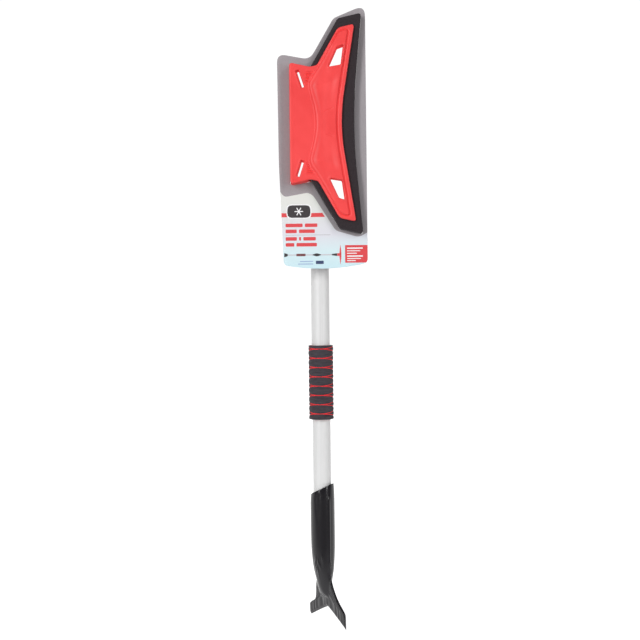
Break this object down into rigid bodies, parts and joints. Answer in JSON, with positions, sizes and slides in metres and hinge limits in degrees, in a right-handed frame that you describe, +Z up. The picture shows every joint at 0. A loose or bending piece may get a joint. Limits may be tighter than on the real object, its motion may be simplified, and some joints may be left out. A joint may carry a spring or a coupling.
{
  "type": "snow brush scraper",
  "caption": "Telescopic snow brush: folding foam head between two plates, twist-lock pole, foam hand grip and flared ice scraper.",
  "frame": {"origin": "on the pole's axis, at the middle of the hand grip", "axes": "+Z up the pole from the scraper to the head; -Y is the head's front face; +X is the side of the foam's working edge"},
  "size_m": [0.1345, 0.0974, 0.9419],
  "materials": {
    "aluminium_tube": "fine drawn, satin",
    "steel": "zinc plated",
    "red_plastic": "moulded, semi-gloss",
    "black_plastic": "moulded, glossy",
    "grey_plastic": "moulded, plain",
    "black_foam": "closed-cell foam, matt",
    "dark_foam": "closed-cell foam, matt",
    "red_foam": "closed-cell foam, matt",
    "printed_card": "coated board, printed"
  },
  "bodies": {
    "pole_handle": {"outer_tube": "aluminium_tube", "grip_underlayer": "red_foam", "grip_foam": "dark_foam", "scraper": "black_plastic", "scraper_rivet": "steel", "lock_body": "black_plastic", "guide_bush": "grey_plastic", "collet": "grey_plastic"},
    "lock_nut": {"lock_nut": "black_plastic"},
    "glide": {"glide_bush": "grey_plastic"},
    "inner_pole": {"inner_tube": "aluminium_tube", "neck_socket": "black_plastic", "neck_rivet": "steel", "pivot_pin": "steel", "pin_retainer": "steel", "button_ring": "black_plastic", "button_spring": "steel"},
    "pivot_button": {"pivot_button": "red_plastic"},
    "head": {"back_plate": "red_plastic", "foam_blade": "black_foam", "front_plate": "red_plastic", "head_screw_1": "steel", "head_screw_2": "steel", "head_screw_3": "steel", "head_screw_4": "steel", "head_screw_5": "steel", "head_screw_6": "steel"},
    "card": {"retail_card": "printed_card"}
  },
  "joints": [
    {"name": "lock_twist", "type": "hinge", "parent": "pole_handle", "child": "lock_nut", "pos_m": [0, 0, 0.265], "axis": [0, 0, 1], "range_deg": [0, 120]},
    {"name": "pole_extend", "type": "slide", "parent": "pole_handle", "child": "glide", "axis": [0, 0, 1], "range_m": [0, 0.382]},
    {"name": "pole_turn", "type": "hinge", "parent": "glide", "child": "inner_pole", "pos_m": [0, 0, 0.265], "axis": [0, 0, 1], "continuous": true},
    {"name": "head_pivot", "type": "hinge", "parent": "inner_pole", "child": "head", "pos_m": [0, 0, 0.392], "axis": [-1, 0, 0], "range_deg": [0, 90]},
    {"name": "button_press", "type": "slide", "parent": "inner_pole", "child": "pivot_button", "axis": [-1, 0, 0], "range_m": [0, 0.003], "stiffness_N_per_m": 800, "deforming": ["button_spring"]},
    {"name": "card_pull", "type": "slide", "parent": "head", "child": "card", "axis": [0, -1, 0], "range_m": [0, 0.08]}
  ]
}
